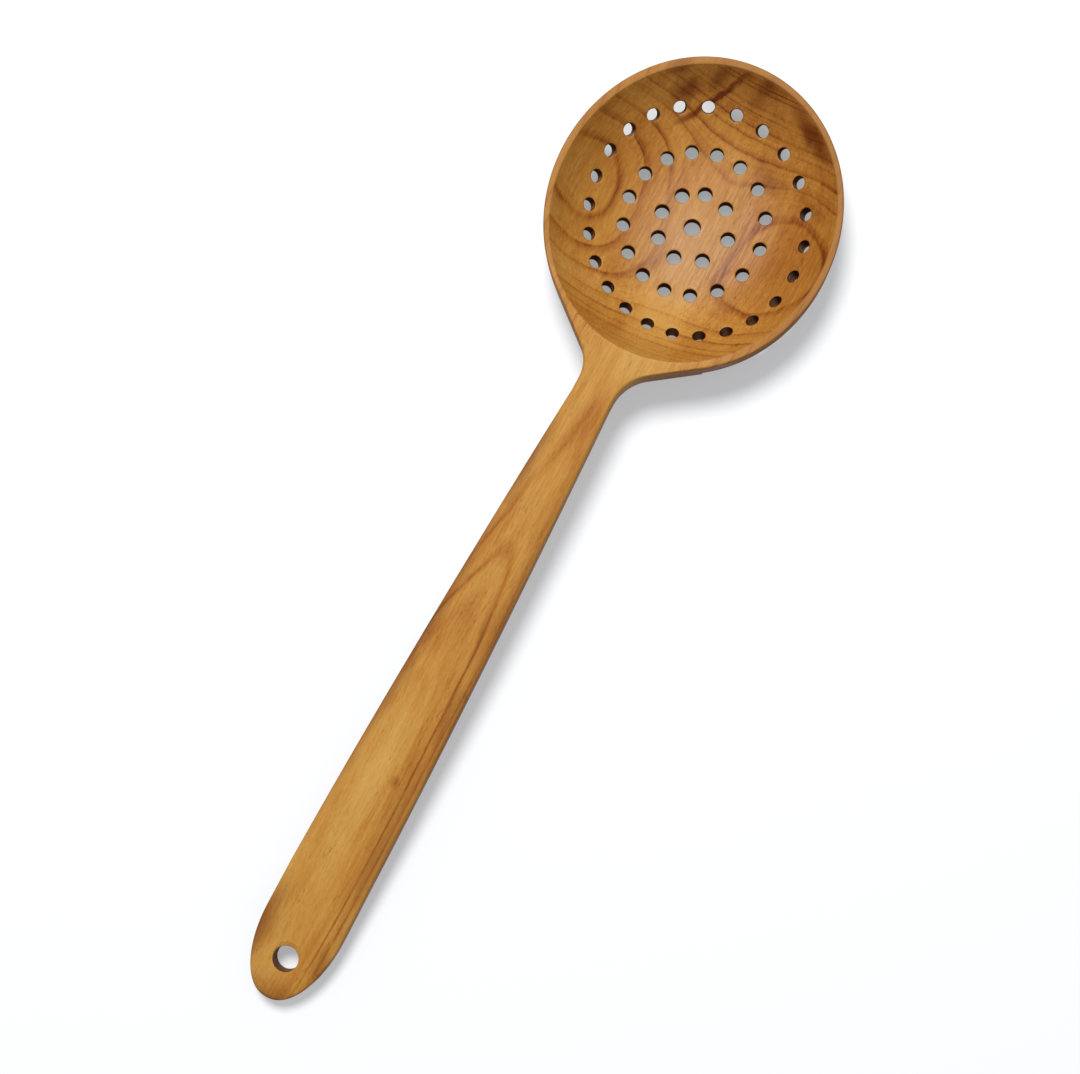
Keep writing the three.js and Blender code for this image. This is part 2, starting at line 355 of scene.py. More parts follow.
# %% [markdown]
# ## One section
# Cut across, the handle shows a flat underside, upright sides, softened upper edges and a slight crown. The
# underside and sides are a circle squared off until it is nearly a box, each upper edge is a quarter of a round
# one, and the crown is a flat arc. Each side is built for itself, as the two flares differ.

# %% Sections of the neck and handle
def section(y):
    """The ring of (x, z) points at a station, once round from the underside's middle on the +X side."""
    thin = rounded_end(y - handle_tip + nose_flat, end_edge, 0.5)
    crown = handle_crown * smoothstep(towards_tip(y), 0, crown_fade)
    widest = top_height(y) - edge_rounding - crown
    shoulder = widest + edge_rounding * thin
    depth = blend(neck_thickness, handle_end_thickness, towards_tip(y)) - edge_rounding - crown
    bottom = widest - depth * thin
    own_half = handle_half_width(y)
    into_flare = smoothstep(y, bowl_y - half_length, flare_end)
    rounding = min(blend(edge_rounding, rim_rounding, into_flare), own_half)
    drop = min(rounding, shoulder - widest)
    sides = {}
    for side in (1, -1):
        offset = side * middle_line(y)
        points = []
        for step in range(underside_steps + 1):
            turn = pi / 2 * step / underside_steps
            narrow = sin(turn) ** (2 / underside_fullness)
            z = widest - depth * thin * max(0, cos(turn)) ** (2 / underside_fullness)
            half = offset + own_half * narrow
            points.append((side * flare_half_width(y, half, flare_share(z, bottom), side), z))
        edge = flare_half_width(y, offset + own_half, 1, side)
        last_turn = pi / 2 - atan(2 * crown / max(edge - rounding, rounding))
        for step in range(edge_steps + 1):
            turn = last_turn * step / edge_steps
            points.append((side * (edge - rounding * (1 - cos(turn))), shoulder - drop * (1 - sin(turn))))
        sides[side] = points
    (right, right_z), (left, left_z) = sides[1][-1], sides[-1][-1]
    crest = []
    for step in range(1, crest_steps):
        share = step / crest_steps
        rise = crown * thin * (1 - (2 * share - 1) ** 2)
        crest.append((blend(right, left, share), blend(right_z, left_z, share) + rise))
    return sides[1] + crest + sides[-1][::-1]


underside_steps = 22
edge_steps = 7
crest_steps = 12
end_stations = 30
handle_stations = 70
flare_stations = 60

stations = [handle_tip + end_rounding * (step / end_stations) ** 2 for step in range(end_stations)]
straight_start = handle_tip + end_rounding
for step in range(handle_stations):
    stations.append(blend(straight_start, neck_y, step / handle_stations))
for step in range(flare_stations + 1):
    stations.append(blend(neck_y, flare_end, step / flare_stations))
print(f"{len(stations)} stations of {len(section(neck_y))} points")

# %% [markdown]
# ## Loft the sections
# Each station gets a circle primitive whose corners are moved on to its section. The rings are bridged with
# four-sided faces, and the first and last one are closed.

# %% Loft the rings into the handle
ring_corners = len(section(neck_y))
let_go()
bpy.ops.mesh.primitive_circle_add(vertices=ring_corners, radius=mm, location=(0, 0, 0))
handle = bpy.context.object
handle.name = handle.data.name = "handle_blank"
bpy.ops.object.mode_set(mode="EDIT")
for count, y in enumerate(stations):
    if count:
        bpy.ops.mesh.primitive_circle_add(vertices=ring_corners, radius=mm, location=(0, 0, 0))
    mesh = bmesh.from_edit_mesh(handle.data)
    ring = [corner for corner in mesh.verts if corner.select]
    for corner, (x, z) in zip(ring, section(y)):
        corner.co = (x, y, z)
    bmesh.update_edit_mesh(handle.data)
    if count in (0, len(stations) - 1):
        bpy.ops.mesh.edge_face_add()
bpy.ops.mesh.select_mode(type="EDGE")
bpy.ops.mesh.select_all(action="SELECT")
bpy.ops.mesh.bridge_edge_loops()
bpy.ops.mesh.select_mode(type="VERT")
close_up()
print(f"handle lofted: {len(handle.data.polygons)} faces")

# %% [markdown]
# ## Join the neck to the bowl and lay the ladle down
# The real ladle is one board, so both bodies become one. Their tops lie in the same plane, as the board's face
# did. The handle's end was sanded on its underside where it touches the table: everything below the table's
# surface is sliced off with bisect, which also fills the cut.

# %% Sand the rest flat, then join
open_up(handle)
bpy.ops.mesh.bisect(
    plane_co=(0, 0, 0), plane_no=(0, 0, 1), use_fill=True, clear_inner=True, threshold=merge_distance
)
bpy.ops.object.mode_set(mode="OBJECT")
carve(ladle, handle, "UNION")

# %% [markdown]
# ## The hollow
# The hollow has a broad, nearly flat floor and a wall that gets steep towards the rim. It is carved with a
# tool of exactly that form. The tool's profile opens out in two short, flatter facets where it breaks through
# the rim's land: that is the edge which sandpaper softens, and it catches a thin line of light.

# %% Carve the hollow
def hollow_height(share):
    return floor_thickness + hollow_depth * share**hollow_fullness


shares = [step / section_steps for step in range(section_steps)]
hollow_profile = [(share, hollow_height(share)) for share in shares]
wall_slope = atan(hollow_depth * hollow_fullness / hollow_half_width)
radius = 1 - hollow_edge_softening / hollow_half_width
height = hollow_height(radius)
hollow_profile.append((radius, height))
for part in (2 / 3, 1 / 3):
    slope = wall_slope * part
    radius += hollow_edge_softening * cos(slope) / hollow_half_width
    height += hollow_edge_softening * sin(slope)
    if part < 0.5:
        # the last and flattest facet runs on until it stands clear of the land
        rest = (rim_height - height) + hollow_edge_softening / 4
        radius += rest / tan(slope) / hollow_half_width
        height += rest
    hollow_profile.append((radius, height))
hollow_profile.append((radius, rim_height + overcut))
hollow_profile.append((0, rim_height + overcut))

hollow_tool = spun("hollow_tool", hollow_profile, round_steps)
stretched(hollow_tool, hollow_half_width, hollow_half_length, (0, bowl_y, 0))
carve(ladle, hollow_tool)
print(f"hollow {hollow_depth / mm:.1f} mm deep, wall {wall_slope * 180 / pi:.0f} degrees steep at the rim")

# %% [markdown]
# ## The drain holes
# Broth runs off through 49 holes: one in the middle and rings of 8, 16 and 24 round it. The maker drilled
# them by eye, leaning the drill about two thirds of the way from upright to square with the wall. So the rings
# are a little oval, each about its own middle, and their spacing drifts. Two sines of the angle give that
# drift without a list of positions.

# %% Places of the drain holes
drain_rings = [
    # angles in degrees, clockwise from +Y; places and sizes in millimetres
    {"count": 1, "radius": 0, "diameter": 5.8, "middle": (0.6, -0.7), "start": 0,
     "drift": (0, 0), "wobble": (0, 0), "stretch": 1, "stretch_angle": 0},
    {"count": 8, "radius": 12.2, "diameter": 5.0, "middle": (1.1, -0.5), "start": -3,
     "drift": (8.3, 114), "wobble": (3.2, 165), "stretch": 1.03, "stretch_angle": 45},
    {"count": 16, "radius": 24.4, "diameter": 4.7, "middle": (0.6, 0.6), "start": -6.1,
     "drift": (3, 94), "wobble": (1.9, 142), "stretch": 1.02, "stretch_angle": -7},
    {"count": 24, "radius": 37.9, "diameter": 4.5, "middle": (1.4, 0.6), "start": -2.5,
     "drift": (4.1, 37), "wobble": (0.9, 129), "stretch": 1.04, "stretch_angle": -36},
]
drill_lean = 0.62


def ahead(amount_and_start, turns, angle):
    amount, start = amount_and_start
    return amount * sin(radians(turns * angle - start))


def drain_places(ring):
    """For each hole of a ring: its place on the hollow, the wall's normal there and the drill's direction."""
    turn = Matrix.Rotation(radians(ring["stretch_angle"]), 2)
    for index in range(ring["count"]):
        even = ring["start"] + 360 * index / ring["count"]
        angle = radians(even + ahead(ring["drift"], 1, even) + ahead(ring["wobble"], 2, even))
        place = turn @ Vector((sin(angle), cos(angle))) * ring["radius"]
        place = turn.inverted() @ Vector((place.x / ring["stretch"], place.y * ring["stretch"]))
        x, y = ((place + Vector(ring["middle"])) * mm).to_tuple()
        share = hypot(x / hollow_half_width, y / hollow_half_length)
        steepness = hollow_depth * hollow_fullness * share ** (hollow_fullness - 2)
        slope_x, slope_y = steepness * x / hollow_half_width**2, steepness * y / hollow_half_length**2
        normal = Vector((-slope_x, -slope_y, 1)).normalized()
        direction = Vector((-slope_x * drill_lean, -slope_y * drill_lean, 1)).normalized()
        yield Vector((x, bowl_y + y, hollow_height(share))), normal, direction


print(f"{sum(ring['count'] for ring in drain_rings)} drain holes in {len(drain_rings)} rings")

# %% [markdown]
# ## Drilling and easing
# One drill is modelled for each ring and copied to its places. Both mouths of a hole are then eased with a
# small countersink shaped like a trumpet, as a twist of sandpaper does. It stands square to the surface, not in
# line with the leaning drill. A boolean needs each tool to reach well past the skin that it cuts.

# %% Tools for drilling and easing
easing_steps = 3
easing_turn = radians(22.5)


def straight_drill(name, radius, depth, sides):
    """A plain cylinder that points down from just above z = 0."""
    let_go()
    middle = (0, 0, (overcut - depth) / 2)
    bpy.ops.mesh.primitive_cylinder_add(vertices=sides, radius=radius, depth=depth + overcut, location=middle)
    piece = bpy.context.object
    piece.name = piece.data.name = name
    bpy.ops.object.transform_apply(location=True, rotation=False, scale=False)
    return piece


def countersink(name, radius, easing, sides):
    """A tool that points down from a surface at z = 0, where it opens out by the easing."""
    shank = 1.3 * easing
    profile = [(0, -shank), (radius, -shank)]
    for step in range(easing_steps + 1):
        turn = easing_turn * step
        profile.append((radius + easing * (1 - cos(turn)), easing * (sin(turn) - 1)))
    lift = 0.4 * mm
    reach = profile[-1][0] + (lift - profile[-1][1]) * tan(turn)
    profile += [(reach, lift), (reach, overcut), (0, overcut)]
    return spun(name, profile, sides)


def placed_copy(tool, place, direction):
    """A copy of a tool with its own mesh, standing at a place and pointing out along a direction."""
    work_on(tool)
    bpy.ops.object.duplicate()
    copy = bpy.context.object
    copy.location = place
    copy.rotation_mode = "QUATERNION"
    copy.rotation_quaternion = Vector((0, 0, 1)).rotation_difference(direction)
    bpy.ops.object.transform_apply(location=True, rotation=True, scale=False)
    return copy


print(f"a countersink opens out in {easing_steps} steps")

# %% [markdown]
# ## Drilling
# The hollow's formula tells where each drill goes in, and a ray cast up along it finds where it comes out. All
# tools of a kind are joined, so that three cuts do it all.

# %% Drill and ease
drill_sides = 40
hole_easing = 0.3 * mm
drills, inner_easings, outer_easings = [], [], []
for ring in drain_rings:
    radius = ring["diameter"] / 2 * mm
    straight = straight_drill("drill", radius, rim_height, drill_sides)
    easing = countersink("easing", radius, hole_easing, drill_sides)
    for place, normal, direction in drain_places(ring):
        drills.append(placed_copy(straight, place, direction))
        inner_easings.append(placed_copy(easing, place, normal))
        exit_place, exit_normal = ladle.ray_cast(place - direction * rim_height, direction)[1:3]
        outer_easings.append(placed_copy(easing, exit_place, exit_normal))
    bpy.data.objects.remove(straight)
    bpy.data.objects.remove(easing)
carve(ladle, joined("drain_drills", drills))
carve(ladle, joined("inner_easings", inner_easings))
carve(ladle, joined("outer_easings", outer_easings))

# %% [markdown]
# ## The hanging hole
# Near the tip a single larger hole goes straight down through the handle, for a nail or a loop of string. Its
# edge is eased on both faces. Rays cast down and up at its place tell where the two faces are.

# %% Drill the hanging hole
hang_place = Vector((handle_offset, handle_tip + hang_hole_from_end, 0))
up, down = Vector((0, 0, 1)), Vector((0, 0, -1))
hang_top = ladle.ray_cast(hang_place + up * 2 * rim_height, down)[1]
hang_bottom = ladle.ray_cast(hang_place + down * rim_height, up)[1]
hang_sides = 64
hang_easing = 0.5 * mm
hang_radius = hang_hole_diameter / 2
long_drill = straight_drill("hang_drill", hang_radius, rim_height + overcut, hang_sides)
easing = countersink("hang_easing", hang_radius, hang_easing, hang_sides)
carve(ladle, placed_copy(long_drill, hang_top, up))
carve(ladle, placed_copy(easing, hang_top, up))
carve(ladle, placed_copy(easing, hang_bottom, down))
bpy.data.objects.remove(long_drill)
bpy.data.objects.remove(easing)
print(f"handle is {(hang_top.z - hang_bottom.z) / mm:.1f} mm thick at the hole")

# %% [markdown]
# ## Smooth faces, crisp edges
# The carved skin is made of small flat faces. Faces that meet at a low angle are shaded as one smooth
# surface, and the rest keep their edge. A weighted normal modifier then lets the large flat land outvote the
# tiny faces of its rounded edge, so that it doesn't look puffed up.

# %% Finish the surface
smooth_below = radians(32)
work_on(ladle)
bpy.ops.object.shade_smooth_by_angle(angle=smooth_below)
weighted = ladle.modifiers.new("weighted_normals", "WEIGHTED_NORMAL")
weighted.keep_sharp = True
bpy.ops.object.modifier_apply(modifier=weighted.name)
print(f"{len(ladle.data.polygons)} faces in the finished ladle")

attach(ladle, "root")
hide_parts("ladle")

# %% [markdown]
# ## The wood
# A picture of boards wrapped round the ladle would betray itself at every edge. Real grain is solid: the
# rings of the tree run right through the piece, and each cut face shows a slice of them. So the material works
# on the place of each point in space. It asks how far the point lies from the tree's heart, which ran a few
# centimetres above the board, and paints growth rings by that distance. The arch on the handle, the curved
# lines on the bowl's sides and the bands near the neck then all come from the same rings, as in nature. Each
# node is one small sum, added by a short helper.

# %% Helpers for shader nodes
wood = bpy.data.materials.new("oiled_hardwood")
wood.use_nodes = True
nodes, links = wood.node_tree.nodes, wood.node_tree.links
shader = nodes["Principled BSDF"]


def feed(socket, value):
    if isinstance(value, bpy.types.NodeSocket):
        links.new(value, socket)
    else:
        socket.default_value = value


def calc(operation, *values):
    step = nodes.new("ShaderNodeMath")
    step.operation = operation
    for socket, value in zip(step.inputs, values):
        feed(socket, value)
    return step.outputs[0]


def vector_calc(operation, *vectors):
    step = nodes.new("ShaderNodeVectorMath")
    step.operation = operation
    for socket, vector in zip(step.inputs, vectors):
        feed(socket, vector)
    return step


def remap(value, low, high, new_low=0.0, new_high=1.0, smooth=True):
    step = nodes.new("ShaderNodeMapRange")
    step.interpolation_type = "SMOOTHSTEP" if smooth else "LINEAR"
    for name, number in (("From Min", low), ("From Max", high), ("To Min", new_low), ("To Max", new_high)):
        feed(step.inputs[name], number)
    feed(step.inputs["Value"], value)
    return step.outputs["Result"]


print("short helpers add single nodes to", wood.name)

# %% Helpers that place noise and ovals
def mapped(vector, centre=(0, 0, 0), turn=(0, 0, 0), size=(1, 1, 1)):
    """The vector measured from a centre, along turned axes, in units of size."""
    step = nodes.new("ShaderNodeMapping")
    step.vector_type = "TEXTURE"
    feed(step.inputs["Vector"], vector)
    feed(step.inputs["Location"], centre)
    feed(step.inputs["Rotation"], turn)
    feed(step.inputs["Scale"], size)
    return step.outputs["Vector"]


def noise(vector, size, centre=(0, 0, 0), detail=2.0, roughness=0.5, output="Fac"):
    """Cloudy noise from 0 to 1 whose blotches have about the given size in millimetres."""
    step = nodes.new("ShaderNodeTexNoise")
    feed(step.inputs["Vector"], mapped(vector, centre=centre, size=size))
    feed(step.inputs["Scale"], 1)
    feed(step.inputs["Detail"], detail)
    feed(step.inputs["Roughness"], roughness)
    return step.outputs[output]


def out_from(vector, centre, size, turn=0, tallness=1000):
    """How far out a point lies in an upright oval cylinder: 0 on its axis, 1 on its wall."""
    local = mapped(vector, (*centre, 0), (0, 0, radians(-turn)), (*size, tallness))
    return vector_calc("LENGTH", local).outputs["Value"]


print("noise and ovals are measured in millimetres")

# %% [markdown]
# ## Colours, and places in millimetres
# One way to mix lays a colour over the base, the other multiplies the two, as a stain does, which keeps the
# grain. Colours are named by how they look on the finished ladle, so the lamp's strength is taken off them.
# Places are Object coordinates, which stay with the piece, in millimetres.

# %% Helpers for colours and places
def tinted(share, base, tint, way="MIX"):
    step = nodes.new("ShaderNodeMix")
    step.data_type = "RGBA"
    step.blend_type = way
    feed(step.inputs["Factor"], share)
    feed(step.inputs["A"], base)
    feed(step.inputs["B"], tint)
    return step.outputs["Result"]


def shaded(share, base, tint):
    """The base multiplied by a tint, by a share: a stain darkens what lies under it and keeps its grain."""
    return tinted(share, base, tint, "MULTIPLY")


# how much light falls on a level face, and how much its gloss adds to that
light_on_top = 1.9
haze = 0.017
darkest = 0.004


def linear(red, green, blue):
    """A colour named by its 0 to 255 display values, as the light values that a shader wants."""
    parts = [value / 255 for value in (red, green, blue)]
    return [part / 12.92 if part <= 0.04045 else ((part + 0.055) / 1.055) ** 2.4 for part in parts] + [1]


def as_seen(red, green, blue):
    """The wood colour that looks like these display values on a level face in this studio."""
    return [max(part - haze, darkest) / light_on_top for part in linear(red, green, blue)[:3]] + [1]


coordinates = nodes.new("ShaderNodeTexCoord")
in_mm = vector_calc("SCALE", coordinates.outputs["Object"])
feed(in_mm.inputs["Scale"], 1 / mm)
spot = in_mm.outputs["Vector"]
split = nodes.new("ShaderNodeSeparateXYZ")
feed(split.inputs[0], spot)
across, along, height = split.outputs
print("the wood is painted by each point's place, in millimetres")

# %% [markdown]
# ## How far from the heart
# The heart of the tree is a gently curved line above the board. Its place across and its height are each a
# curve of the second degree along the ladle, and past the middle of the handle it runs straight on, so that
# the grain there is parallel to the handle. Slow noise bends the rings a little, because trees aren't lathes.

# %% Distance from the heart
heart_across = (-0.3, 0.093, -0.00051)
heart_height = (59.8, 0.0747, -0.00052)
straight_from = -78.0
straight_rise = 0.085
straight_blend = 30.0


def curve_along(terms, position):
    start, slope, bend = terms
    rise = calc("ADD", slope, calc("MULTIPLY", bend, position))
    return calc("ADD", start, calc("MULTIPLY", position, rise))


def swing(value, amount):
    """Noise from 0 to 1, made to swing to both sides of nothing."""
    return calc("MULTIPLY", calc("SUBTRACT", value, 0.5), amount)


curved_part = calc("SMOOTH_MAX", along, straight_from, straight_blend)
straight_part = calc("SUBTRACT", along, curved_part)
centre_across = curve_along(heart_across, curved_part)
centre_height = calc("MULTIPLY_ADD", straight_part, straight_rise, curve_along(heart_height, curved_part))
aside = calc("SUBTRACT", across, centre_across)
below = calc("SUBTRACT", height, centre_height)
plain_distance = calc("SQRT", calc("ADD", calc("MULTIPLY", aside, aside), calc("MULTIPLY", below, below)))
slow_bend = swing(noise(spot, (26, 60, 26), detail=1.0), 0.9)
small_bend = swing(noise(spot, (5, 22, 5)), 0.4)
distance = calc("ADD", plain_distance, calc("ADD", slow_bend, small_bend))
print("rings are measured from a heart about", heart_height[0], "mm above the table")

# %% [markdown]
# ## The growth rings
# Each year the wood starts pale and ends in a darker band. A colour ramp over the distance holds the years.
# It carries three readings in its red, green and blue: how far the year has gone, how dark the year is as a
# whole, and how strong its closing band is. This timber is close-grained, so most bands are soft and broad,
# and only a few stand out: one draws the arch on the handle, one edges the redder wood on the right.

# %% Rings as readings of one ramp
nearest_ring, farthest_ring = 32.0, 70.0
years = [
    # distance of the closing band in mm, tone of the year, strength of the band
    (33.2, 0.10, 0.0), (34.8, 0.16, 0.1), (36.2, 0.38, 0.15), (37.4, 0.44, 0.9), (38.9, 0.36, 0.6),
    (43.5, 0.22, 0.2), (44.9, 0.34, 0.4), (47.8, 0.42, 0.5), (49.7, 0.36, 0.4), (52.0, 0.44, 0.5),
    (54.4, 0.38, 0.4), (57.6, 0.46, 0.7), (60.2, 0.70, 0.5), (62.5, 0.62, 0.7), (68.0, 0.62, 0.4),
]
band_fade = 0.6


def at_distance(value):
    return (value - nearest_ring) / (farthest_ring - nearest_ring)


ramp = nodes.new("ShaderNodeValToRGB")
feed(ramp.inputs["Fac"], remap(distance, nearest_ring, farthest_ring, smooth=False))
stops = ramp.color_ramp.elements
stops[0].position, stops[1].position = 0, at_distance(years[0][0])
stops[0].color = (0, years[0][1], years[0][2], 1)
stops[1].color = (1, years[0][1], years[0][2], 1)
for (closing, tone, strength), (next_closing, next_tone, next_strength) in zip(years, years[1:]):
    stops.new(at_distance(closing + band_fade)).color = (0, next_tone, next_strength, 1)
    stops.new(at_distance(next_closing)).color = (1, next_tone, next_strength, 1)
readings = nodes.new("ShaderNodeSeparateColor")
feed(readings.inputs[0], ramp.outputs["Color"])
year_gone, year_tone, band_strength = readings.outputs
# the higher the power, the later in the year the wood turns dark
late_wood = calc("POWER", year_gone, 2.5)
last_weeks = calc("POWER", year_gone, 6.0)
patches = noise(spot, (16, 24, 16), centre=(4, 6, 1), detail=1.0)
comes_and_goes = remap(patches, 0.35, 0.62, 0.5, 1.0)
closing_band = calc("MULTIPLY", calc("MULTIPLY", last_weeks, band_strength), comes_and_goes)
print(f"{len(years)} growth rings, {len(stops)} stops in the ramp")

# %% [markdown]
# ## Fibres, pores and flecks
# Close up the wood is a bundle of tubes along the ladle. Long thin noise gives the fibres. Cut pores show as
# faint dashes a quarter of a millimetre wide: noise again, but only its peaks count. Fine lines follow the
# rings too, and a silky speckle lies over all, which keeps the broad bands from looking airbrushed.

# %% Fine structure
def evened(value):
    """Noise keeps near its middle, so its usual range is stretched to 0 to 1."""
    return remap(value, 0.3, 0.7, smooth=False)


fibres = evened(noise(spot, (0.8, 14, 0.8), detail=3.0, roughness=0.65))
speckle = evened(noise(spot, (0.4, 2.0, 0.4), centre=(2, 4, 6), roughness=0.6))
streaks = evened(noise(spot, (2.6, 50, 2.6), centre=(7, 11, 3)))
clouds = evened(noise(spot, (12, 26, 12), centre=(5, 2, 8), detail=3.0))
dashes = remap(noise(spot, (0.3, 2.6, 0.3), centre=(3, 5, 9), detail=0.0), 0.62, 0.8)
few_here = remap(noise(spot, (9, 30, 9), centre=(1, 8, 2), detail=1.0), 0.35, 0.7)
pores = calc("MULTIPLY", dashes, few_here)
ring_lines_per_mm = 1.5
ring_grain = nodes.new("ShaderNodeTexNoise")
ring_grain.noise_dimensions = "1D"
feed(ring_grain.inputs["W"], calc("MULTIPLY", distance, ring_lines_per_mm))
feed(ring_grain.inputs["Scale"], 1)
feed(ring_grain.inputs["Detail"], 3)
ring_lines = ring_grain.outputs["Fac"]
print("fibres, pores and fine rings are ready")

# %% [markdown]
# ## Marks of this one piece
# What makes a carved ladle this ladle are its chance marks: a mineral streak that crosses the rings on the far
# wall, darker patches beside it and on the right wall, which are partly dark wood and partly painted shade,
# long streaks and two small knots on the handle, and darkening along its edges and round its tip. Each is an
# oval, given by its centre, size and turn in real millimetres, whose edge is soft and frayed by noise.

# %% A frayed oval
fray_amount = Vector((2.6, 4.4, 2.6))
fray = noise(spot, (4, 9, 4), detail=3.0, output="Color")
fray_shift = vector_calc("MULTIPLY_ADD", fray, fray_amount, -fray_amount / 2).outputs["Vector"]
frayed_spot = vector_calc("ADD", spot, fray_shift).outputs["Vector"]


def mark(centre, size, turn, strength, core=0.1):
    """An oval mark seen from above, used for stains and for painted shade and light: size is half its width and
    half its length, turn is clockwise from +Y.
    """
    return remap(out_from(frayed_spot, centre, size, turn), core, 1.0, strength, 0.0)


def strongest(values):
    total = values[0]
    for value in values[1:]:
        total = calc("MAXIMUM", total, value)
    return total


print(f"edges fray by up to {max(fray_amount) / 2:.1f} mm")

# %% Stains, knots and painted shade
mineral_streak = mark((-13, 160.5), (1.7, 20), 33, 1.0, core=0.3)
# partly dark wood, partly painted shade on the hollow's far wall
far_wall_stains_and_shade = [
    mark((-22.5, 159), (4.6, 9), 38, 0.9),
    mark((-14, 167), (3.6, 7), 30, 0.7),
    mark((-27, 164), (3.6, 7), 40, 0.8),
    mark((2, 171), (10, 4.5), -72, 0.7),
    mark((23, 163), (4.0, 16), -58, 0.95),
]
# partly dark wood, partly painted shade on the hollow's right wall
right_wall_stains_and_shade = [
    mark((15, 147), (6, 12), -60, 0.35),
    mark((35, 142), (2.4, 11), -62, 0.45),
]
knots = [
    mark((2.4, -91.8), (2.8, 3.6), 0, 0.42),
    mark((10.0, -134.0), (1.2, 2.6), 0, 0.4),
]
handle_streaks = [
    mark((4.6, -36), (1.5, 20), -8, 0.5),
    mark((7.6, -66), (2.6, 22), -6, 0.45),
    mark((9.0, -112), (6.0, 52), -2, 0.42),
]
handle_edges = [
    mark((-13.6, -48), (5.2, 90), 2.8, 0.7),
    mark((-9.5, 24), (4.5, 30), 0, 0.7),
    mark((10.2, -45), (5.0, 110), -2, 0.46),
    mark((-2.3, -175), (17, 10), 0, 0.45),
    mark((-16, -157), (7, 26), 4, 0.85),
    mark((11, -163), (5, 18), -14, 0.6),
]
handle_marks = [*knots, *handle_streaks, *handle_edges]
all_marks = [mineral_streak, *far_wall_stains_and_shade, *right_wall_stains_and_shade, *handle_marks]
# the stains and the painted shade together
stains_and_shade = strongest(all_marks)
print(f"{len(all_marks)} marks placed")

# %% [markdown]
# ## Mixing the colour
# The bare tone, from 0 pale to 1 dark, is a sum of all this. Two ramps turn it into colour, a yellower one for
# the handle and a browner one for the heartwood of the bowl, and the border between them lies in the neck.
# The bowl's tone is painted lighter on its near left side and a little darker on its far right one, as painted
# light and shade. The colours are named as they look under the lamp, so they can be compared with the real thing
# by eye.

# %% Tone to colour
shares_of_tone = [
    (0.10, late_wood), (0.72, closing_band), (0.20, fibres), (0.16, speckle), (0.14, streaks), (0.16, clouds),
    (0.24, ring_lines),
]
tone = calc("MULTIPLY", year_tone, 0.50)
for share, part in shares_of_tone:
    tone = calc("MULTIPLY_ADD", part, share, tone)
tone = calc("SUBTRACT", tone, 0.19)
pale_patches = [
    mark((-5.0, -98), (6.5, 48), 3, 0.26),
    mark((-5.5, -150), (5, 14), 0, -0.1),
    mark((6, 82), (34, 13), 90, 0.2),
]
tone = calc("SUBTRACT", tone, strongest(pale_patches))
in_bowl = remap(calc("MULTIPLY_ADD", slow_bend, 4.0, along), 66.0, 88.0)

tone_steps = (0.0, 0.35, 0.7, 1.0)
handle_colours = ((217, 169, 94), (202, 148, 74), (181, 118, 52), (146, 82, 30))
bowl_colours = ((209, 156, 84), (191, 133, 65), (166, 105, 51), (124, 68, 34))


def colour_ramp(value, colours):
    """The tone as a colour, from colours as they look at its steps."""
    step = nodes.new("ShaderNodeValToRGB")
    feed(step.inputs["Fac"], value)
    stops = step.color_ramp.elements
    stops[0].position, stops[1].position = tone_steps[0], tone_steps[-1]
    stops[0].color, stops[1].color = as_seen(*colours[0]), as_seen(*colours[-1])
    for position, colour in zip(tone_steps[1:-1], colours[1:-1]):
        stops.new(position).color = as_seen(*colour)
    return step.outputs["Color"]


# about -1 at the bowl's near left rim and 1 at its far right one
far_right = (0.6, 0.8)
from_middle = calc("SUBTRACT", along, bowl_y / mm)
towards_far = calc("MULTIPLY", from_middle, far_right[1] * mm / half_length)
lean = calc("MULTIPLY_ADD", across, far_right[0] * mm / half_width, towards_far)
# painted light and shade: the hollow lighter on its near left side and darker on its far right side
painted_near_light_far_shade = calc("MULTIPLY", remap(lean, -0.9, 0.9, -0.28, 0.07, smooth=False), in_bowl)
stronger = calc("MULTIPLY_ADD", tone, 1.25, -0.16)
handle_colour = colour_ramp(tone, handle_colours)
bowl_colour = colour_ramp(calc("ADD", stronger, painted_near_light_far_shade), bowl_colours)
colour = tinted(in_bowl, handle_colour, bowl_colour)
print(f"two ramps of {len(tone_steps)} colours mixed")

# %% [markdown]
# ## Stains, pores and a painted sheen
# Marks and pores darken the grain that is there, and some of the marks are painted shade. A painted highlight
# lies over the hollow's floor where the lamp's sheen falls: a thin veil of a pale colour.

# %% Stains, painted shade and a painted sheen over the grain
stain_and_shade_tint = (0.38, 0.20, 0.13, 1)
pore_tint = (0.42, 0.26, 0.14, 1)
painted_sheen_colour = as_seen(232, 212, 178)
# stains and painted shade darken the grain
colour = shaded(stains_and_shade, colour, stain_and_shade_tint)
colour = shaded(calc("MULTIPLY", pores, 0.55), colour, pore_tint)
# painted highlight: a pale sheen painted over the hollow's floor
painted_floor_sheen = mark((3, 113), (22, 26), 20, 0.12)
colour = tinted(painted_floor_sheen, colour, painted_sheen_colour)
print("stains, pores and rubbed floor laid over the grain")

# %% [markdown]
# ## Upright faces and drilled walls
# Cut ends of fibres drink more oil and dry darker. The upright sides of rim and handle are darkened as painted
# shade, since they turn away from the light above, and a thin dark line runs round the whole outline. The rim's
# land is worn and dry, with a dull brown of its own. The drilled walls are darkest: they are end grain all round,
# and shade is painted into the holes as well. The normal tells how upright a face is, and the place tells drilled
# walls from outer ones.

# %% Inside or outside the bowl's outline
endless = 100000


def within(centre, size, fade):
    """1 inside an upright oval cylinder round a centre, 0 outside it."""
    return remap(out_from(spot, centre, size, tallness=endless), 1.0 - fade, 1.0, 1.0, 0.0)


